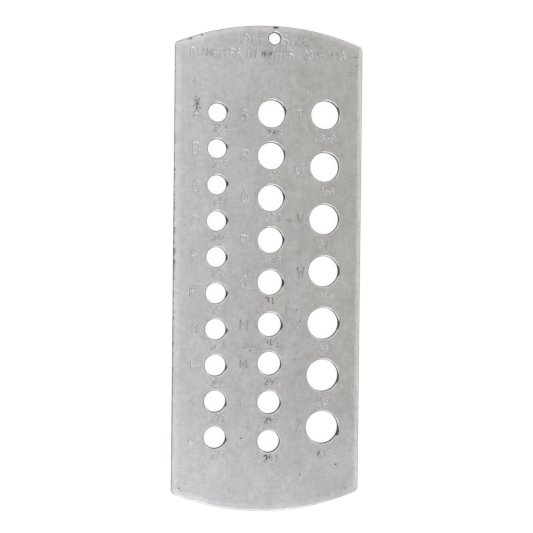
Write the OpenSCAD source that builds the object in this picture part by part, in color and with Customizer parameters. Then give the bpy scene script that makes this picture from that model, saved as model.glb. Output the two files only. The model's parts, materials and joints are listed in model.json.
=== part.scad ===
// Letter drill size gauge: one flat steel plate with a graded hole for each letter size.
// It lies on its back with its face up: X runs across it, Y along it and Z through its thickness.
// The origin is under the middle of the back, and the hole it hangs by is at the +Y end.

/* [Plate] */
// Width over the two straight sides
plate_w = 61; // [58:0.5:70]
// Length over the crowns of the two arched ends
plate_l = 156.8; // [150:0.2:176]
// Thickness
plate_t = 2.4; // [1.8:0.1:4]
// Radius of the arched ends
end_r = 78; // [60:1:140]
// Radius at the four corners
corner_r = 1.4; // [1:0.1:4]
// Bevel along every outer edge, on both faces
edge_bevel = 0.6; // [0.2:0.05:0.7]

/* [Gauge holes] */
// How much wider each hole is than the drill that it passes
drill_clearance = 0.05; // [0.02:0.01:0.1]
// Bevel at both mouths of each hole
hole_bevel = 0.45; // [0.1:0.05:0.6]
// Distance from the crown of the upper end down to the first row
first_row = 28.3; // [24:0.1:32]

/* [Left column] */
// Distance from the middle line, to the left
left_x = 16.7; // [15:0.1:19]
// Spacing of its holes, centre to centre
left_pitch = 11.6; // [10:0.1:12]

/* [Middle column] */
// Distance from the middle line, to the right
mid_x = 0.8; // [-1:0.1:2]
// Spacing of its upper holes, centre to centre
mid_pitch = 13.6; // [12:0.1:14]
// Spacing of its lower, smaller holes
mid_low_pitch = 12.6; // [11:0.1:13]

/* [Right column] */
// Distance from the middle line, to the right
right_x = 18.3; // [17:0.1:20]
// Spacing of its holes, centre to centre
right_pitch = 16.9; // [14:0.1:17.4]

/* [Hanging hole] */
// Diameter
hang_d = 3.8; // [3:0.1:5]
// Bevel at both its mouths
hang_bevel = 0.6; // [0.2:0.05:0.8]
// Distance from the middle line, to the right
hang_x = 1.6; // [-2:0.1:3]
// Distance from the crown of the upper end down to its centre
hang_drop = 4.1; // [4:0.1:6]

/* [Hidden] */

inch = 25.4;
// Letter sizes in inches, each column from its top hole down: A to J, S to K, T to Z
left_inch = [0.234, 0.238, 0.242, 0.246, 0.250, 0.257, 0.261, 0.266, 0.272, 0.277];
mid_inch = [0.348, 0.339, 0.332, 0.323, 0.316, 0.302, 0.295, 0.290, 0.281];
right_inch = [0.358, 0.368, 0.377, 0.386, 0.397, 0.404, 0.413];
// How many of the middle column's spacings are upper ones
mid_upper_steps = 5;

// How far a cutting shape runs past the face that it cuts
over = 1;
// Sides of the small rounds and of an arch
hole_sides = 72;
arch_sides = 360;
// How far a corner's round would stand out of the side and the arch where it meets them, so that they cross
corner_proud = 0.04;

row_y = plate_l / 2 - first_row;
hang_y = plate_l / 2 - hang_drop;
// Centre of the upper end's arch
arch_y = plate_l / 2 - end_r;
// Centre of the upper right corner's round, as far inside the arch as it is inside the side
corner_inset = corner_r - corner_proud;
corner_x = plate_w / 2 - corner_inset;
corner_y = arch_y + sqrt((end_r - corner_inset) ^ 2 - corner_x ^ 2);
// Direction from the arch's centre to the corner's, from the Y axis
corner_turn = atan2(corner_x, corner_y - arch_y);

// Bore for a drill given in inches
function bore(size) = size * inch + drill_clearance;

// Distance down the middle column to hole i
function mid_drop(i) = min(i, mid_upper_steps) * mid_pitch + max(i - mid_upper_steps, 0) * mid_low_pitch;

left_holes = [for (i = [0 : len(left_inch) - 1]) [-left_x, row_y - i * left_pitch, bore(left_inch[i])]];
mid_holes = [for (i = [0 : len(mid_inch) - 1]) [mid_x, row_y - mid_drop(i), bore(mid_inch[i])]];
right_holes = [for (i = [0 : len(right_inch) - 1]) [right_x, row_y - i * right_pitch, bore(right_inch[i])]];

// Bevelled rim of the plate in section, at a distance r from the middle, from the back to the face
function rim(r) = [
    [r - edge_bevel, 0],
    [r, edge_bevel],
    [r, plate_t - edge_bevel],
    [r - edge_bevel, plate_t]
];

// Long strip between the two straight sides
module strip() {
    right_rim = rim(plate_w / 2);
    left_rim = [for (i = [len(right_rim) - 1 : -1 : 0]) [-right_rim[i].x, right_rim[i].y]];
    rotate([90, 0, 0])
        linear_extrude(plate_l + 2 * over, center = true)
            polygon(concat(right_rim, left_rim));
}

// Round slab of the plate's thickness with the same rim
module disc(r, sides) {
    rotate_extrude($fn = sides)
        polygon(concat([[0, 0]], rim(r), [[0, plate_t]]));
}

// What lies outside the arch of the upper end
module beyond_arch() {
    difference() {
        translate([-plate_w / 2 - over, corner_y - over, -over])
            cube([plate_w + 2 * over, plate_l / 2 - corner_y + 3 * over, plate_t + 2 * over]);
        translate([0, arch_y, 0])
            disc(end_r, arch_sides);
    }
}

// What lies outside the round of the upper right corner
module beyond_corner() {
    reach = 3 * corner_r + over;
    translate([corner_x, corner_y, 0])
        difference() {
            translate([0, 0, -over])
                linear_extrude(plate_t + 2 * over)
                    polygon([
                        [0, 0],
                        [reach, 0],
                        [reach, reach],
                        [reach * tan(corner_turn), reach]
                    ]);
            disc(corner_r, hole_sides);
        }
}

// A round hole through the plate, opened out at both mouths
module hole(d, bevel) {
    rotate_extrude($fn = hole_sides)
        polygon([
            [0, -over],
            [d / 2 + bevel + over, -over],
            [d / 2, bevel],
            [d / 2, plate_t - bevel],
            [d / 2 + bevel + over, plate_t + over],
            [0, plate_t + over]
        ]);
}

module gauge_plate() {
    color("silver")
        difference() {
            strip();
            for (upper = [0, 1])
                mirror([0, upper, 0]) {
                    beyond_arch();
                    for (right = [0, 1])
                        mirror([right, 0, 0])
                            beyond_corner();
                }
            for (h = concat(left_holes, mid_holes, right_holes))
                translate([h[0], h[1], 0])
                    hole(h[2], hole_bevel);
            translate([hang_x, hang_y, 0])
                hole(hang_d, hang_bevel);
        }
}

gauge_plate();
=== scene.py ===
import json
import math
import random

import bpy
from mathutils import Matrix, Vector


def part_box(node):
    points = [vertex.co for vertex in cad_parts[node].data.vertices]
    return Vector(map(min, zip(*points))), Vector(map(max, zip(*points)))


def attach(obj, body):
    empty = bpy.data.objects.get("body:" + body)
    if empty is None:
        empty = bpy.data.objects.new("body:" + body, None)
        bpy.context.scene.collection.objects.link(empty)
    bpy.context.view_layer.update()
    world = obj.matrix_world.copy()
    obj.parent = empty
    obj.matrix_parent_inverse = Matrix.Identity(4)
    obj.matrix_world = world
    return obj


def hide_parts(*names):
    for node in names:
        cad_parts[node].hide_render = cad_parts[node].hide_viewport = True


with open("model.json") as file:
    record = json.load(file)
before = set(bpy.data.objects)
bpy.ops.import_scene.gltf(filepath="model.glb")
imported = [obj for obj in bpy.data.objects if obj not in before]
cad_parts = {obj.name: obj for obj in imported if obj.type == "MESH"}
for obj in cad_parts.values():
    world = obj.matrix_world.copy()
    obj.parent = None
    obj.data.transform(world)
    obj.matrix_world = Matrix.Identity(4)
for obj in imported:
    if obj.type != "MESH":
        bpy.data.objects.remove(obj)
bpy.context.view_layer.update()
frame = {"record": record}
bpy.ops.object.select_all(action="DESELECT")

mm = 0.001
inch = 25.4 * mm
tiny = 0.01 * mm  # places closer than this count as one
plateLow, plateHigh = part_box("gauge_plate")
faceZ = plateHigh.z  # the stamped face
thickness = plateHigh.z - plateLow.z
halfWidth = plateHigh.x
bores = {mount["name"]: mount for mount in frame["record"]["mounts"] if mount["kind"] == "bore"}
gaugeHoles = {name[-1].upper(): bore for name, bore in bores.items() if name != "hanging_hole"}  # by letter
print("frame loaded, plate", [round(side / mm, 2) for side in plateHigh - plateLow])


# camera

cameraSet = {
    "distance": 400 * mm,  # from the middle of the face
    "toLeft": 7.95,  # degrees that it stands to the plate's left
    "toTop": 0.83,  # degrees that it stands towards the hanging hole
    "lean": 0.60,  # degrees that the plate leans right in the picture
    "pixelsPerMm": 3.1014,
    "picture": 533,  # pixels each way
    "middle": (267.8, 269.05),  # pixel on which the middle of the face falls
    "sensor": 36.0,  # mm
}


def addCamera(put):
    side, up, lean = (math.radians(put[key]) for key in ("toLeft", "toTop", "lean"))
    back = Vector((-math.sin(side) * math.cos(up), math.sin(up), math.cos(side) * math.cos(up)))
    flatX = Vector((math.cos(side), 0, math.sin(side)))
    flatY = back.cross(flatX)
    right = math.cos(lean) * flatX + math.sin(lean) * flatY
    upward = math.cos(lean) * flatY - math.sin(lean) * flatX
    data = bpy.data.cameras.new("camera")
    data.sensor_width = put["sensor"]
    data.lens = put["sensor"] * put["pixelsPerMm"] * put["distance"] / mm / put["picture"]
    half = put["picture"] / 2
    data.shift_x = (half - put["middle"][0]) / put["picture"]
    data.shift_y = (put["middle"][1] - half) / put["picture"]
    camera = bpy.data.objects.new("camera", data)
    turn = Matrix((right, upward, back)).transposed().to_4x4()
    camera.matrix_world = Matrix.Translation(Vector((0, 0, faceZ)) + back * put["distance"]) @ turn
    bpy.context.scene.collection.objects.link(camera)
    bpy.context.scene.camera = camera


addCamera(cameraSet)
print("camera in place")


# shader helpers

class Value:
    def __init__(self, tree, socket):
        self.tree = tree
        self.socket = socket

    def maths(self, operation, first, second):
        node = self.tree.nodes.new("ShaderNodeMath")
        node.operation = operation
        plug(self.tree, node.inputs[0], first)
        plug(self.tree, node.inputs[1], second)
        return Value(self.tree, node.outputs[0])

    def __add__(self, other):
        return self.maths("ADD", self, other)

    __radd__ = __add__

    def __sub__(self, other):
        return self.maths("SUBTRACT", self, other)

    def __rsub__(self, other):
        return self.maths("SUBTRACT", other, self)

    def __mul__(self, other):
        return self.maths("MULTIPLY", self, other)

    __rmul__ = __mul__

    def __truediv__(self, other):
        return self.maths("DIVIDE", self, other)

    def __rtruediv__(self, other):
        return self.maths("DIVIDE", other, self)

    def __pow__(self, other):
        return self.maths("POWER", self, other)

    def __rpow__(self, other):
        return self.maths("POWER", other, self)

    def __abs__(self):
        return self.maths("ABSOLUTE", self, 0)

    def atLeast(self, other):
        return self.maths("MAXIMUM", self, other)

    def atMost(self, other):
        return self.maths("MINIMUM", self, other)


def plug(tree, socket, value):
    if isinstance(value, Value):
        tree.links.new(value.socket, socket)
    elif hasattr(socket.default_value, "__len__") and len(socket.default_value) == 4 and len(value) == 3:
        socket.default_value = (*value, 1)
    else:
        socket.default_value = value


def weighted(base, weights, values):
    # base plus each named value by its weight
    for name, weight in weights.items():
        base = base + values[name] * weight
    return base


spotSet = {
    "ragged": 2.2,  # half sizes by which the ragged value moves a patch's edge
    "fade": (0.25, 1.0),  # half sizes from the middle where a patch starts to fade and where it ends
}


class Finish:
    def __init__(self, name, tree=None):
        self.material = None
        if tree is None:
            self.material = bpy.data.materials.new(name)
            self.material.use_nodes = True
            tree = self.material.node_tree
        self.tree = tree
        self.tree.nodes.clear()

    def node(self, kind, settings=None, sockets=None, out=0):
        node = self.tree.nodes.new("ShaderNode" + kind)
        for key, value in (settings or {}).items():
            setattr(node, key, value)
        for key, value in (sockets or {}).items():
            plug(self.tree, node.inputs[key], value)
        return Value(self.tree, node.outputs[out]) if node.outputs else None

    def part(self, vector, axis):
        return self.node("SeparateXYZ", sockets={0: vector}, out=axis)

    def inMm(self):
        # place on the piece
        coords = self.node("TexCoord", out="Object")
        return self.node("VectorMath", {"operation": "SCALE"}, {0: coords, "Scale": 1 / mm})

    def facing(self, axis):
        # how far the surface faces along an axis, from -1 to 1
        return self.part(self.node("TexCoord", out="Normal"), axis)

    def blend(self, mask, low, high):
        # colour low where the mask is 0, colour high where it is 1
        return self.node("Mix", {"data_type": "RGBA"}, {0: mask, 6: low, 7: high}, 2)

    def step(self, value, start, end):
        # 0 before start, 1 after end, smooth between
        return self.node("MapRange", {"interpolation_type": "SMOOTHSTEP"},
                         {"Value": value, "From Min": start, "From Max": end})

    def noise(self, inMm, scale, detail, rough):
        # uneven about 0
        place = self.node("Mapping", sockets={"Vector": inMm, "Scale": scale})
        return self.node("TexNoise", sockets={
            "Vector": place, "Scale": 1.0, "Detail": detail, "Roughness": rough}) - 0.5

    def spots(self, inMm, ragged, places):
        # soft patches: middle, half sizes and depth of each, with edges that follow the ragged value
        mask = None
        for x, y, reachX, reachY, depth in places:
            off = self.node("VectorMath", {"operation": "SUBTRACT"}, {0: inMm, 1: (x, y, 0)})
            shrink = (1 / reachX, 1 / reachY, 0)
            off = self.node("VectorMath", {"operation": "MULTIPLY"}, {0: off, 1: shrink})
            away = self.node("VectorMath", {"operation": "LENGTH"}, {0: off}, "Value")
            patch = (1 - self.step(away + ragged * spotSet["ragged"], *spotSet["fade"])) * depth
            mask = patch if mask is None else mask.atLeast(patch)
        return mask


# form of the plate, which its finish follows too

blankSet = {
    "endRadius": 78.0 * mm,
    "endSides": 180,  # of the full circle
    "cornerRadius": 1.4 * mm,
    "cornerSteps": 6,
    "edgeRound": 0.85 * mm,
    "edgeSteps": 6,
    "mesh": 3.0 * mm,  # grid of the two faces, so that each cut stays in small faces
    "meshShift": 0.37,  # share of a square by which its lines miss the middle
    "flat": 0.999,  # upright part of a face's normal from which it counts as flat
}


# finishes of the plate

soilAndShade = (0.085, 0.072, 0.058)  # dirt on the face and in the grooves, and painted shade on the plate's left edge and on the grooves' right-facing walls

steelSet = {
    "bare": (0.353, 0.342, 0.324),
    # painted shade and dark reflection on the walls of the holes and deep in their mouths
    "bore": (0.040, 0.040, 0.044),
    "rim": (0.190, 0.185, 0.180),  # the plate's sides and ends, painted darker as shade and dark reflection
    "noises": {  # scale across, along and through the plate, detail and roughness
        "grain": ((2.6, 0.32, 1.0), 2.0, 0.6),  # rolling grain along the plate
        "rub": ((0.40, 2.3, 1.0), 2.0, 0.6),  # rubbing across it
        "fleck": ((1.9, 1.9, 1.9), 3.0, 0.7),
        "mottle": ((0.55, 0.55, 0.55), 3.0, 0.6),
        "cloud": ((0.13, 0.10, 0.13), 3.0, 0.6),
    },
    "pore": (0.15, 0.22),  # how strong a fleck is where it turns into a dark pore
    "shadeBy": {"grain": 0.24, "rub": 0.20, "fleck": 0.34, "mottle": 0.30, "cloud": 0.26, "pore": -0.16},
    "roughness": 0.40,
    "roughBy": {"grain": 0.12, "cloud": 0.10, "bevel": -0.13, "wall": 0.20, "grime": 0.15},
    "wallLevel": (0.02, 0.10),  # square of the normal's upright part, from a wall to a slope
    "bevelLevel": (0.80, 0.98),  # and from a bevel to the face
    "wornWide": 2.6,  # mm from the edge where the face starts to fall off
    "wornDrop": 0.40,  # mm that it would fall by the edge
    "grainHigh": 0.0014,  # mm that the grain stands up
    "ragged": 0.6,  # how much flecks and mottling break up the edges of stains
    "grime": (  # middle, half sizes and depth of stains on the face, in mm; the two at x -30.9 paint the shade of the left side along its edge
        (-23.4, 53.2, 1.3, 2.4, 0.55), (-30.9, 2.4, 1.3, 11.0, 1.0), (-30.9, 0.0, 0.95, 90.0, 0.9),
        (-25.6, 73.3, 1.1, 0.7, 0.5), (7.2, 15.6, 2.4, 1.0, 0.20), (9.6, 15.9, 1.2, 0.9, 0.22),
        (9.6, 5.3, 1.6, 1.4, 0.20), (-24.2, 60.0, 0.9, 1.5, 0.12), (26.4, 64.5, 0.8, 3.0, 0.14),
        (9.0, -29.5, 1.6, 1.0, 0.14), (9.6, -4.7, 1.7, 0.7, 0.14), (-14.5, 33.5, 2.6, 0.9, 0.10),
        (4.5, -25.0, 2.2, 1.1, 0.12), (-5.4, -25.4, 3.6, 1.5, 0.16), (6.2, -12.6, 0.7, 2.6, 0.18),
        (9.4, -24.6, 1.3, 0.9, 0.18), (-4.0, -18.6, 1.2, 1.0, 0.14), (4.8, -8.2, 1.4, 0.8, 0.12),
    ),
    "rimWide": (1.4, 2.2),  # mm from the edge where the rim's colour gives way to the bores'
    "mouthDeep": (0.52, 0.62),  # mm below the face where a clean mouth turns dark, as painted shade
    "crustHigh": 0.62,  # mm that a full painted shadow crescent raises the dark
    "crustRagged": 0.5,  # share of a stain's raggedness that the painted shadow crescent's edge takes
    "crustTurn": 22.0,  # degrees up or down from the right of a mouth where its painted shadow crescent lies, at either end
    "crustReach": (1.5, 36.0),  # half its width in mm, and degrees up and down
    # strength of the painted shadow crescent in each gauge hole's mouth, by letter
    "crust": {"C": 1.0, "D": 1.0, "E": 1.0, "F": 1.0, "G": 0.95, "O": 1.0, "Z": 1.0, "N": 0.95,
              "K": 0.45, "L": 0.7, "M": 0.7, "U": 0.4, "V": 0.6, "R": 0.75, "T": 0.75, "X": 0.9, "Y": 0.85},
    "crustPlain": 0.88,  # how far up the mouth the painted shadow crescent of any other hole reaches
}


def shadowCrescentPlaces(put):
    # painted shadow crescent in the right of each gauge hole's mouth, higher in the upper rows and lower in
    # the lower ones
    places = []
    wide, spread = put["crustReach"]
    for letter, bore in gaugeHoles.items():
        x, y = (side / mm for side in bore["pos_m"][:2])
        radius = bore["dims"]["r_mm"]
        turn = math.radians(put["crustTurn"] * y * mm / plateHigh.y)
        high = radius * math.sin(math.radians(spread))
        depth = put["crust"].get(letter, put["crustPlain"])
        places.append((x + radius * math.cos(turn), y + radius * math.sin(turn), wide, high, depth))
    return places


def makeSteel(put):
    steel = Finish("worn_steel")
    inMm = steel.inMm()
    across, along, up = (steel.part(inMm, axis) for axis in (0, 1, 2))
    upright = steel.facing(2)
    level = upright * upright

    # the face falls off a little towards its worn edges
    endRadius, edgeRound = blankSet["endRadius"] / mm, blankSet["edgeRound"] / mm
    past = abs(along) - (plateHigh.y / mm - endRadius)
    gap = (halfWidth / mm - abs(across)).atMost(endRadius - (across ** 2 + past ** 2) ** 0.5)
    worn = (1 - gap.atLeast(edgeRound) / put["wornWide"]).atLeast(0)

    wearAndShade = {name: steel.noise(inMm, *how) for name, how in put["noises"].items()}
    wearAndShade["pore"] = steel.step(wearAndShade["fleck"], *put["pore"])
    wearAndShade["bevel"] = 1 - steel.step(level, *put["bevelLevel"])
    ragged = (wearAndShade["fleck"] + wearAndShade["mottle"]) * put["ragged"]
    # stains, and painted shade along the left edge
    wearAndShade["grime"] = steel.spots(inMm, ragged, put["grime"])

    # walls and the deeper part of each mouth are painted dark as shade and dark reflection, and so is a
    # painted shadow crescent in the right of each gauge hole's mouth
    inside = steel.step(gap, *put["rimWide"])
    crust = steel.spots(inMm, ragged * put["crustRagged"], shadowCrescentPlaces(put))
    depth = faceZ / mm - up + crust * put["crustHigh"]
    wall = 1 - steel.step(level, *put["wallLevel"])
    wearAndShade["wall"] = wall.atLeast(inside * steel.step(depth, *put["mouthDeep"]))

    colour = steel.blend(wearAndShade["wall"], put["bare"], steel.blend(inside, put["rim"], put["bore"]))
    shade = weighted(1, put["shadeBy"], wearAndShade)
    colour = steel.node("VectorMath", {"operation": "SCALE"}, {0: colour, "Scale": shade})
    colour = steel.blend(wearAndShade["grime"], colour, soilAndShade)
    rough = weighted(put["roughness"], put["roughBy"], wearAndShade)
    height = (wearAndShade["grain"] + wearAndShade["fleck"]) * put["grainHigh"] - worn * worn * put["wornDrop"]
    bump = steel.node("Bump", sockets={"Distance": mm, "Height": height})
    shader = steel.node("BsdfPrincipled", sockets={
        "Base Color": colour, "Metallic": 1.0, "Roughness": rough, "Normal": bump})
    steel.node("OutputMaterial", sockets={"Surface": shader})
    return steel.material


grooveSet = {
    "pressed": (0.49, 0.485, 0.47),  # clean floor of a groove
    "dirt": ((0.6, 0.6, 0.6), 4.0, 0.7),  # scale, detail and roughness of its noise
    "thin": (-0.04, 0.22),  # how strong the noise is where a thin film of dirt lies
    "thinCover": 0.25,
    "lee": (0.15, 0.55),  # how far a wall faces right where it is painted in shade
    "leeNear": 0.5,  # how much facing near counts beside that
    # how far the painted shade darkens those walls
    "leeCover": 0.62,
    "roughness": 0.32,
    "dirtRough": 0.25,
    "filled": (  # middle, half sizes and depth where dirt fills the grooves, in mm
        (-23.4, 53.0, 2.2, 3.2, 0.9), (1.2, 44.2, 4.0, 1.3, 0.7), (-16.5, 46.4, 3.6, 0.9, 0.5),
        (0.2, -10.0, 3.6, 1.6, 0.8), (0.6, -23.4, 3.0, 1.5, 0.7), (0.4, -36.4, 3.6, 1.6, 0.7),
        (0.2, -48.6, 3.4, 1.6, 0.8), (0.2, -60.6, 3.6, 1.5, 0.9), (16.6, -59.7, 2.6, 1.5, 0.8),
        (11.0, 0.2, 1.8, 2.2, 0.6), (-7.4, -31.0, 1.8, 1.8, 0.35), (-7.6, -17.4, 2.0, 2.2, 0.4),
        (-1.0, 69.2, 3.2, 1.2, 0.8), (-8.0, 49.5, 1.6, 1.5, 0.5), (-16.6, -36.4, 3.4, 1.0, 0.5),
        (9.8, 16.6, 1.6, 2.4, 0.5), (-16.0, 10.0, 3.4, 1.0, 0.4), (10.8, -17.0, 1.4, 2.0, 0.4),
    ),
}


def makeGroove(put):
    groove = Finish("stamped_groove")
    inMm = groove.inMm()
    dirt = groove.noise(inMm, *put["dirt"])
    thin = groove.step(dirt, *put["thin"]) * put["thinCover"]
    right, far = groove.facing(0), groove.facing(1)
    # painted shade: walls that face right, and a little those that face near, are darkened towards the dark
    # colour
    lee = groove.step(right - far * put["leeNear"], *put["lee"]) * put["leeCover"]
    mask = groove.spots(inMm, dirt, put["filled"]).atLeast(thin).atLeast(lee)
    colour = groove.blend(mask, put["pressed"], soilAndShade)
    rough = put["roughness"] + mask * put["dirtRough"]
    shader = groove.node("BsdfPrincipled", sockets={
        "Base Color": colour, "Metallic": 1.0, "Roughness": rough})
    groove.node("OutputMaterial", sockets={"Surface": shader})
    return groove.material


dirtSet = {
    "packed": (0.055, 0.048, 0.042),  # in pits
    "roughness": 0.8,
}


def makeDirt(put):
    dirt = Finish("packed_dirt")
    shader = dirt.node("BsdfPrincipled", sockets={
        "Base Color": put["packed"], "Roughness": put["roughness"]})
    dirt.node("OutputMaterial", sockets={"Surface": shader})
    return dirt.material


wornSteel = makeSteel(steelSet)
stampedGroove = makeGroove(grooveSet)
packedDirt = makeDirt(dirtSet)
print("finishes made")


# modelling helpers

def pick(piece):
    bpy.ops.object.select_all(action="DESELECT")
    piece.select_set(True)
    bpy.context.view_layer.objects.active = piece


def editAll(piece):
    pick(piece)
    bpy.ops.object.mode_set(mode="EDIT")
    bpy.ops.mesh.select_all(action="SELECT")


def editWhere(piece, kind, test):
    # edit mode with only the vertices, edges or faces that pass the test
    editAll(piece)
    bpy.ops.mesh.select_mode(type=kind)
    bpy.ops.mesh.select_all(action="DESELECT")
    bpy.ops.object.mode_set(mode="OBJECT")
    mesh = piece.data
    for item in {"VERT": mesh.vertices, "EDGE": mesh.edges, "FACE": mesh.polygons}[kind]:
        item.select = test(item)
    bpy.ops.object.mode_set(mode="EDIT")


def leaveEdit():
    bpy.ops.object.mode_set(mode="OBJECT")


def settle(piece):
    # the place goes into the mesh
    pick(piece)
    bpy.ops.object.transform_apply(location=True, rotation=True, scale=True)


def joinAll(pieces):
    # one mesh of them all
    bpy.ops.object.select_all(action="DESELECT")
    for piece in pieces:
        piece.select_set(True)
    bpy.context.view_layer.objects.active = pieces[0]
    bpy.ops.object.join()
    return pieces[0]


def cutWith(piece, cutter):
    cut = piece.modifiers.new("cut", "BOOLEAN")
    cut.operation = "DIFFERENCE"
    cut.solver = "MANIFOLD"
    cut.material_mode = "TRANSFER"
    cut.object = cutter
    pick(piece)
    bpy.ops.object.modifier_apply(modifier="cut")
    bpy.data.objects.remove(cutter)


# plate blank

def makeBlank(put):
    bpy.ops.mesh.primitive_cylinder_add(
        vertices=put["endSides"], radius=put["endRadius"], depth=thickness,
        location=(0, 0, plateLow.z + thickness / 2))
    blank = bpy.context.object
    blank.name = blank.data.name = "stamped_plate"
    settle(blank)
    for side in (-1, 1):  # straight sides
        editAll(blank)
        bpy.ops.mesh.bisect(plane_co=(side * halfWidth, 0, 0), plane_no=(side, 0, 0),
                            use_fill=True, clear_outer=True)
        leaveEdit()
    spread = plateHigh.y - put["endRadius"]
    for end in (-1, 1):  # the arches stand a little apart
        editWhere(blank, "VERT", lambda point: point.co.y * end > 0)
        bpy.ops.transform.translate(value=(0, end * spread, 0))
        leaveEdit()

    def endsOf(edge):
        return [blank.data.vertices[index].co for index in edge.vertices]

    def atCorner(edge):
        first, second = endsOf(edge)
        upright = abs(first.z - second.z) > thickness / 2
        return upright and all(abs(abs(end.x) - halfWidth) < tiny for end in (first, second))

    editWhere(blank, "EDGE", atCorner)
    turn = math.pi / 2 - math.asin(halfWidth / put["endRadius"])
    bpy.ops.mesh.bevel(offset=put["cornerRadius"] * math.tan(turn / 2), segments=put["cornerSteps"],
                       affect="EDGES")
    leaveEdit()

    def onRim(edge):
        first, second = endsOf(edge)
        return abs(first.z - second.z) < tiny

    editWhere(blank, "EDGE", onRim)
    bpy.ops.mesh.bevel(offset=put["edgeRound"], segments=put["edgeSteps"], affect="EDGES")
    leaveEdit()

    for axis, reach in ((0, plateHigh.x), (1, plateHigh.y)):
        count = int(reach / put["mesh"])
        for line in range(-count, count + 1):
            place, way = [0, 0, 0], [0, 0, 0]
            place[axis], way[axis] = (line + put["meshShift"]) * put["mesh"], 1
            editWhere(blank, "FACE", lambda face: abs(face.normal.z) > put["flat"])
            bpy.ops.mesh.bisect(plane_co=place, plane_no=way)
            leaveEdit()
    return blank


plate = makeBlank(blankSet)
for finish in (wornSteel, stampedGroove, packedDirt):
    plate.data.materials.append(finish)
print("blank made,", len(plate.data.polygons), "faces")


# drilled holes, where the record has its bores

boreSet = {
    "sides": 72,
    "mouth": 0.45 * mm,  # bevel of a gauge hole
    "hangingMouth": 0.60 * mm,
    "past": 0.5 * mm,  # how far the cutter stands out of the plate
    "round": ((0.0, 1.0), (0.10, 0.82), (0.60, 0.25), (1.05, 0.0)),  # depth and widening down the bevel
}


def makeDrill(put, place, radius, mouth):
    low, high = plateLow.z, plateHigh.z
    rings = [(low - put["past"], radius + mouth)]
    rings += [(low + down * mouth, radius + wide * mouth) for down, wide in put["round"]]
    rings += [(high - down * mouth, radius + wide * mouth) for down, wide in reversed(put["round"])]
    rings += [(high + put["past"], radius + mouth)]
    level, wide = rings[0]
    bpy.ops.mesh.primitive_circle_add(vertices=put["sides"], radius=wide, fill_type="NGON",
                                      location=(place[0], place[1], level))
    drill = bpy.context.object
    settle(drill)
    editAll(drill)
    for nextLevel, nextWide in rings[1:]:
        bpy.ops.mesh.extrude_region_move(TRANSFORM_OT_translate={"value": (0, 0, nextLevel - level)})
        grow = nextWide / wide
        bpy.ops.transform.resize(value=(grow, grow, 1), center_override=(place[0], place[1], nextLevel))
        level, wide = nextLevel, nextWide
    bpy.ops.mesh.select_all(action="SELECT")
    bpy.ops.mesh.normals_make_consistent(inside=False)
    leaveEdit()
    drill.data.materials.append(wornSteel)
    return drill


drills = []
for name, bore in bores.items():
    mouth = boreSet["hangingMouth"] if name == "hanging_hole" else boreSet["mouth"]
    drills.append(makeDrill(boreSet, bore["pos_m"], bore["dims"]["r_mm"] * mm, mouth))
cutWith(plate, joinAll(drills))
print("holes cut,", len(plate.data.polygons), "faces")


# punched marks: single-stroke letters and figures in a unit box, cut as grooves with a flat floor

def bow(middleX, middleY, wide, high, start, end, steps=10):
    # points along an ellipse, from one angle to another in degrees
    turns = [math.radians(start + (end - start) * i / steps) for i in range(steps + 1)]
    return [(middleX + wide * math.cos(turn), middleY + high * math.sin(turn)) for turn in turns]


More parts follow.
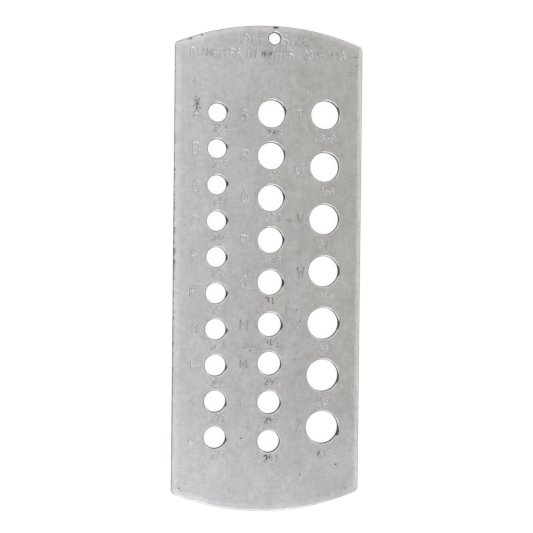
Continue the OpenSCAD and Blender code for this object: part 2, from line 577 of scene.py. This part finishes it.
ring = bow(0.5, 0.5, 0.5, 0.5, 90, 450, 18)
loopP = [(0, 1), (0.55, 1), *bow(0.55, 0.75, 0.45, 0.25, 80, -80, 7), (0.55, 0.5), (0, 0.5)]
stem = [(0, 0), (0, 1)]
letterForms = {
    "A": [[(0, 0), (0.5, 1), (1, 0)], [(0.17, 0.34), (0.83, 0.34)]],
    "B": [stem, [(0, 1), (0.55, 1), *bow(0.55, 0.765, 0.38, 0.235, 80, -80, 7), (0.55, 0.53), (0, 0.53)],
          [(0.55, 0.53), *bow(0.55, 0.265, 0.45, 0.265, 80, -80, 8), (0.55, 0), (0, 0)]],
    "C": [bow(0.52, 0.5, 0.52, 0.5, 48, 312, 14)],
    "D": [stem, [(0, 1), (0.42, 1), *bow(0.42, 0.5, 0.58, 0.5, 80, -80, 10), (0.42, 0), (0, 0)]],
    "E": [[(0.95, 1), (0, 1), (0, 0), (1, 0)], [(0, 0.53), (0.78, 0.53)]],
    "F": [[(0.95, 1), (0, 1), (0, 0)], [(0, 0.53), (0.78, 0.53)]],
    "G": [[*bow(0.52, 0.5, 0.52, 0.5, 48, 345, 15), (1, 0.45), (0.6, 0.45)]],
    "H": [stem, [(1, 0), (1, 1)], [(0, 0.52), (1, 0.52)]],
    "I": [[(0.5, 0), (0.5, 1)]],
    "J": [[(0.9, 1), (0.9, 0.3), *bow(0.45, 0.3, 0.45, 0.3, -15, -180, 8)]],
    "K": [stem, [(1, 1), (0, 0.4)], [(0.34, 0.6), (1, 0)]],
    "L": [[(0, 1), (0, 0), (0.95, 0)]],
    "M": [[(0, 0), (0, 1), (0.5, 0.3), (1, 1), (1, 0)]],
    "N": [[(0, 0), (0, 1), (1, 0), (1, 1)]],
    "O": [ring],
    "P": [stem, loopP],
    "Q": [ring, [(0.6, 0.28), (1, -0.04)]],
    "R": [stem, loopP, [(0.5, 0.5), (1, 0)]],
    "S": [[*bow(0.5, 0.755, 0.45, 0.245, 30, 250, 9), *bow(0.5, 0.255, 0.5, 0.255, 70, -150, 9)]],
    "T": [[(0, 1), (1, 1)], [(0.5, 1), (0.5, 0)]],
    "U": [[(0, 1), (0, 0.38), *bow(0.5, 0.38, 0.5, 0.38, 195, 345, 8), (1, 0.38), (1, 1)]],
    "V": [[(0, 1), (0.5, 0), (1, 1)]],
    "W": [[(0, 1), (0.25, 0), (0.5, 0.72), (0.75, 0), (1, 1)]],
    "X": [[(0, 0), (1, 1)], [(0, 1), (1, 0)]],
    "Y": [[(0, 1), (0.5, 0.48), (1, 1)], [(0.5, 0.48), (0.5, 0)]],
    "Z": [[(0, 1), (1, 1), (0, 0), (1, 0)]],
    "0": [ring],
    "1": [[(0.22, 0.78), (0.55, 1), (0.55, 0)]],
    "2": [[*bow(0.5, 0.71, 0.46, 0.29, 165, -35, 9), (0, 0), (1, 0)]],
    "3": [bow(0.46, 0.76, 0.44, 0.24, 150, -90, 9), bow(0.46, 0.265, 0.5, 0.265, 90, -150, 10)],
    "4": [[(0.76, 0), (0.76, 1), (0, 0.28)], [(0, 0.28), (1, 0.28)]],
    "5": [[(0.92, 1), (0.16, 1), (0.1, 0.52)], bow(0.46, 0.33, 0.52, 0.33, 140, -150, 10)],
    "6": [bow(0.5, 0.3, 0.5, 0.3, 90, 450, 14), bow(0.98, 0.3, 0.98, 0.74, 108, 172, 6)],
    "7": [[(0, 1), (1, 1), (0.36, 0)]],
    "8": [bow(0.5, 0.765, 0.41, 0.235, -90, 270, 13), bow(0.5, 0.265, 0.5, 0.265, 90, 450, 14)],
    "9": [bow(0.5, 0.7, 0.5, 0.3, -90, 270, 14), bow(0.02, 0.7, 0.98, 0.74, -8, -72, 6)],
    ".": [[(0.1, 0.1), (0.9, 0.1)]],
    "-": [[(0.1, 0.45), (0.9, 0.45)]],
}
narrow = {"I": 0.45, ".": 0.6, "1": 0.8, " ": 0.7, "-": 0.8}  # widths, as shares of a full mark's

punchSet = {
    "clearance": 0.05 * mm,  # how much wider a hole is than its drill
    "columnSide": 8 * mm,  # holes farther than this from the middle line are in a side column
    "letterHigh": 3.3 * mm,
    "letterWide": 2.1 * mm,
    "letterBite": 0.34 * mm,  # half the width of a groove
    "letterOff": {"left": 6.6 * mm, "middle": 8.4 * mm, "right": 7.9 * mm},  # from the hole's middle
    "letterTall": {"D": 1.05, "E": 1.12, "F": 0.9, "H": 0.75, "I": 0.8, "L": 0.8, "M": 0.82, "O": 1.08,
                   "P": 0.82, "R": 0.9, "S": 0.86, "T": 0.85, "U": 0.82, "W": 1.05, "Z": 1.12},
    "letterAside": {"C": (0.0, -0.5), "E": (-0.3, 0.4), "F": (-0.4, 0.5), "J": (-0.5, 0.0), "O": (0.0, 0.4),
                    "S": (-0.5, -0.8), "T": (-0.4, -0.3), "U": (-0.4, -1.2), "W": (0.3, -0.4),
                    "Z": (0.1, 0.7)},  # mm right and up
    "letterBold": {"C": 1.2, "F": 1.5, "G": 1.2, "J": 1.3, "I": 0.75, "K": 0.65, "L": 0.75, "T": 0.75,
                   "V": 0.75, "X": 0.8, "Y": 0.75},  # share of the bite
    "figureHigh": 2.15 * mm,
    "figureWide": 1.2 * mm,
    "figureStep": 1.72 * mm,
    "figureBite": 0.25 * mm,
    "figureStart": 2.3,  # steps that the point starts left of the hole's middle
    "pointStep": 1.3,  # steps that the point takes up
    "figureBold": {"left": 0.95, "middle": 0.95, "right": 0.85},
    "figureDrop": {"left": 0.9 * mm, "middle": 0.9 * mm, "right": 2.1 * mm},  # below the hole's edge
    "headBite": 0.26 * mm,
    "headGap": 0.45,  # between marks, as a share of a full mark's width
    "groove": (  # its section, for a bite of 1, with its open top above the face
        (-1.0, 0.0), (-0.38, -0.60), (0.38, -0.60), (1.0, 0.0), (1.1, 0.3), (-1.1, 0.3),
    ),
    "headings": (  # words, start of the line, end, baseline, height
        ("HOLE", -11.2 * mm, -1.7 * mm, 72.1 * mm, 3.2 * mm),
        ("SIZE", 4.2 * mm, 12.4 * mm, 72.3 * mm, 3.0 * mm),
        ("DIAMETERS IN INCHES .234-.413", -25.3 * mm, 24.4 * mm, 67.9 * mm, 2.5 * mm),
    ),
    "slip": 0.10 * mm,  # how far a punch wanders
    "tilt": 2.5,  # degrees that it leans
    "heavy": (0.75, 1.15),  # lightest and heaviest blow
    "uneven": 0.3,  # how much deeper it may bite on one side
    "seed": 26,
    "weld": 0.0005 * mm,
}
hand = random.Random(punchSet["seed"])


def strike(strokes, mark, place, wide, high, bite, put):
    # one punch mark, lower left corner at place, leaning and biting unevenly
    lean = math.radians(hand.uniform(-put["tilt"], put["tilt"]))
    slipX, slipY = (hand.uniform(-put["slip"], put["slip"]) for i in range(2))
    heavy = hand.uniform(*put["heavy"])
    biteX, biteY = (hand.uniform(-put["uneven"], put["uneven"]) for i in range(2))
    for layer, path in enumerate(letterForms[mark]):
        points = []
        for x, y in path:
            offX, offY = (x - 0.5) * wide, (y - 0.5) * high
            points.append((
                place[0] + wide / 2 + slipX + offX * math.cos(lean) - offY * math.sin(lean),
                place[1] + high / 2 + slipY + offX * math.sin(lean) + offY * math.cos(lean),
                bite * heavy * (1 + biteX * (x - 0.5) + biteY * (y - 0.5))))
        strokes[layer].append(points)


def layWords(strokes, words, start, end, base, high, put):
    # a line of marks spread evenly between start and end
    sizes = [narrow.get(mark, 1.0) for mark in words]
    unit = (end - start) / (sum(sizes) + put["headGap"] * (len(words) - 1))
    at = start
    for mark, size in zip(words, sizes):
        if mark != " ":
            strike(strokes, mark, (at, base), size * unit, high, put["headBite"], put)
        at += (size + put["headGap"]) * unit


def gatherStrokes(put):
    strokes = [[], [], []]  # strokes of a mark cross, so they are cut in turn
    for letter, bore in gaugeHoles.items():
        x, y = bore["pos_m"][:2]
        radius = bore["dims"]["r_mm"] * mm
        column = "middle"
        if abs(x) > put["columnSide"]:
            column = "left" if x < 0 else "right"
        wide = put["letterWide"] * narrow.get(letter, 1.0)
        high = put["letterHigh"] * put["letterTall"].get(letter, 1.0)
        asideX, asideY = put["letterAside"].get(letter, (0, 0))
        strike(strokes, letter,
               (x - put["letterOff"][column] + asideX * mm - wide / 2, y + asideY * mm - high / 2),
               wide, high, put["letterBite"] * put["letterBold"].get(letter, 1.0), put)
        inches = "%.3f" % ((2 * radius - put["clearance"]) / inch)
        base = y - radius - put["figureDrop"][column] - put["figureHigh"]
        at = x - put["figureStart"] * put["figureStep"]
        for mark in inches[1:]:
            wide = put["figureWide"] * narrow.get(mark, 1.0)
            step = put["figureStep"] * (put["pointStep"] if mark == "." else 1)
            strike(strokes, mark, (at + (step - wide) / 2, base), wide, put["figureHigh"],
                   put["figureBite"] * put["figureBold"][column], put)
            at += step
    for words, start, end, base, high in put["headings"]:
        layWords(strokes, words, start, end, base, high, put)
    return strokes


def makePunches(strokes, put):
    # bars along the strokes, their lower part in the steel
    outline = bpy.data.curves.new("punchSection", "CURVE")
    edge = outline.splines.new("POLY")
    edge.points.add(len(put["groove"]) - 1)
    edge.use_cyclic_u = True
    for point, (across, up) in zip(edge.points, put["groove"]):
        point.co = (across, up, 0, 1)
    profile = bpy.data.objects.new("punchSection", outline)
    bpy.context.scene.collection.objects.link(profile)
    curve = bpy.data.curves.new("punches", "CURVE")
    curve.dimensions = "3D"
    curve.twist_mode = "Z_UP"
    curve.bevel_mode = "OBJECT"
    curve.bevel_object = profile
    curve.use_fill_caps = True
    for points in strokes:
        closed = math.dist(points[0][:2], points[-1][:2]) < tiny
        if closed:
            points = points[:-1]
        spline = curve.splines.new("POLY")
        spline.points.add(len(points) - 1)
        spline.use_cyclic_u = closed
        for point, (x, y, bite) in zip(spline.points, points):
            point.co = (x, y, faceZ, 1)
            point.radius = bite
    punches = bpy.data.objects.new("punches", curve)
    bpy.context.scene.collection.objects.link(punches)
    pick(punches)
    bpy.ops.object.convert(target="MESH")
    punches = bpy.context.object
    bpy.data.objects.remove(profile)
    editAll(punches)
    bpy.ops.mesh.remove_doubles(threshold=put["weld"])  # closes the bars at their caps
    bpy.ops.mesh.normals_make_consistent(inside=False)
    leaveEdit()
    punches.data.materials.clear()
    punches.data.materials.append(stampedGroove)
    return punches


for layer in gatherStrokes(punchSet):
    cutWith(plate, makePunches(layer, punchSet))
    print("marks cut,", len(layer), "strokes,", len(plate.data.polygons), "faces")


# pits in the face and nicks in its edge

pitSet = {
    "pits": (  # middle, width and height, in mm
        (1.75, 77.85, 2.1, 1.1), (-12.3, 77.2, 0.9, 0.5), (-22.0, 74.6, 0.8, 0.6),
        (-26.3, 72.9, 0.5, 0.4), (-25.4, 73.4, 0.7, 0.5), (-24.7, 73.9, 0.4, 0.4),
        (-23.9, 55.0, 0.4, 0.5), (-22.6, 54.2, 0.5, 0.4), (-23.3, 52.6, 0.5, 0.7), (-22.4, 51.4, 0.4, 0.6),
        (-24.4, 51.9, 0.6, 0.3), (-24.2, 61.0, 0.4, 0.3), (-24.5, 59.6, 0.3, 0.4),
        (-28.0, -70.4, 0.4, 0.6), (-27.6, -71.2, 0.6, 0.3), (22.9, -63.4, 0.7, 0.5),
        (23.5, -64.0, 0.4, 0.3), (11.2, -66.6, 0.4, 0.6), (26.0, -71.2, 0.3, 0.5),
        (28.1, 69.0, 0.4, 0.5), (28.4, 66.2, 0.3, 0.4),
        (28.0, 59.0, 0.3, 0.2), (9.6, -13.2, 0.3, 0.4), (6.8, -11.0, 0.4, 0.3), (-24.6, -42.2, 0.4, 0.4),
        (-5.6, -26.4, 0.5, 0.4), (-4.1, -25.0, 0.4, 0.3), (-7.6, -25.4, 0.4, 0.3),
        (-2.6, -24.3, 0.3, 0.3), (3.4, -25.2, 0.4, 0.3), (24.6, 14.0, 0.3, 0.3),
        (-29.2, -8.0, 0.3, 0.4), (12.0, 33.6, 0.3, 0.3), (-8.2, -54.6, 0.5, 0.5),
    ),
    "sides": 10,
    "rings": 6,
    "flat": 0.55,  # depth, as a share of its height
    "rough": 0.35,  # share of its height that a pit is out of round
}


def makePits(put):
    pits = []
    for number, (x, y, wide, high) in enumerate(put["pits"]):
        middle = (x * mm, y * mm, faceZ)
        bpy.ops.object.select_all(action="DESELECT")
        bpy.ops.mesh.primitive_uv_sphere_add(segments=put["sides"], ring_count=put["rings"],
                                             radius=high / 2 * mm, location=middle)
        pit = bpy.context.object
        settle(pit)
        editAll(pit)
        bpy.ops.transform.resize(value=(wide / high, 1, put["flat"]), center_override=middle)
        bpy.ops.transform.vertex_random(offset=put["rough"] * high / 2 * mm, seed=number)
        leaveEdit()
        pits.append(pit)
    joined = joinAll(pits)
    joined.data.materials.append(packedDirt)
    return joined


cutWith(plate, makePits(pitSet))
print("pits cut,", len(plate.data.polygons), "faces")


# finish of the plate

smoothSet = {
    "angle": 35,  # degrees between faces up to which their edge is smooth
}


def smoothPiece(piece, put):
    pick(piece)
    bpy.ops.object.shade_smooth_by_angle(angle=math.radians(put["angle"]))
    even = piece.modifiers.new("even", "WEIGHTED_NORMAL")
    even.keep_sharp = True
    bpy.ops.object.modifier_apply(modifier="even")


smoothPiece(plate, smoothSet)
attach(plate, "root")
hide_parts("gauge_plate")
print("plate finished")


# floor, world and soft lights

stageSet = {
    "floorSide": 4.0,  # metres
    "floorDrop": 0.02 * mm,
    "floorPaint": (0.9, 0.9, 0.9),
    "floorWhite": 0.90,  # share of the floor's white that takes no shadow
    "worldLight": 1.0,  # white all round
    "lampWatts": 4.0,  # for each square metre of a lamp with a brightness of 1
    "lamps": (  # name, place, width and height in metres, brightness, colour
        ("window", (-0.086, 0.0, 0.083), (0.40, 0.24), 0.60, (0.89, 0.98, 1.13)),
        ("nearEnd", (0.0, -0.145, 0.067), (0.45, 0.20), 0.49, (0.86, 0.97, 1.14)),
        ("farEnd", (-0.05, 0.236, 0.185), (0.40, 0.18), 0.50, (0.94, 0.98, 1.08)),
        ("rightSide", (0.262, 0.03, 0.146), (0.50, 0.16), 1.2, (1.0, 1.0, 1.0)),
        ("lowRightFar", (0.344, 0.344, 0.112), (0.40, 0.20), 1.0, (1.0, 1.0, 1.0)),
        ("lowFar", (0.0, 0.487, 0.112), (0.40, 0.20), 0.6, (1.0, 1.0, 1.0)),
        ("lowNear", (0.0, -0.487, 0.112), (0.40, 0.20), 2.0, (1.0, 1.0, 1.0)),
    ),
}


def seenWhite(stage):
    # 1 for rays that show the background: camera, glossy and transmission
    names = ("Is Camera Ray", "Is Glossy Ray", "Is Transmission Ray")
    camera, glossy, through = (stage.node("LightPath", out=name) for name in names)
    return camera.atLeast(glossy).atLeast(through)


def makeStage(put):
    bpy.ops.object.select_all(action="DESELECT")
    bpy.ops.mesh.primitive_plane_add(size=put["floorSide"], location=(0, 0, plateLow.z - put["floorDrop"]))
    floor = bpy.context.object
    floor.name = floor.data.name = "floor"
    settle(floor)
    paper = Finish("white_floor")
    plain = paper.node("BsdfDiffuse", sockets={"Color": put["floorPaint"]})
    lit = paper.node("Emission", sockets={"Color": (1, 1, 1), "Strength": 1.0})
    mixed = paper.node("MixShader", sockets={0: seenWhite(paper) * put["floorWhite"], 1: plain, 2: lit})
    paper.node("OutputMaterial", sockets={"Surface": mixed})
    floor.data.materials.append(paper.material)

    world = bpy.data.worlds.new("studio")
    world.use_nodes = True
    bpy.context.scene.world = world
    air = Finish("studio", world.node_tree)
    sky = air.node("Background", sockets={"Color": (1, 1, 1), "Strength": put["worldLight"]})
    air.node("OutputWorld", sockets={"Surface": sky})

    for name, place, size, bright, colour in put["lamps"]:
        lamp = bpy.data.lights.new(name, "AREA")
        lamp.shape = "RECTANGLE"
        lamp.size, lamp.size_y = size
        lamp.energy = put["lampWatts"] * bright * size[0] * size[1]
        lamp.color = colour
        holder = bpy.data.objects.new(name, lamp)
        holder.location = place
        holder.rotation_euler = Vector(place).to_track_quat("Z", "Y").to_euler()
        holder.visible_camera = False
        bpy.context.scene.collection.objects.link(holder)


makeStage(stageSet)
bpy.context.scene.view_settings.view_transform = "Standard"
print("stage lit")
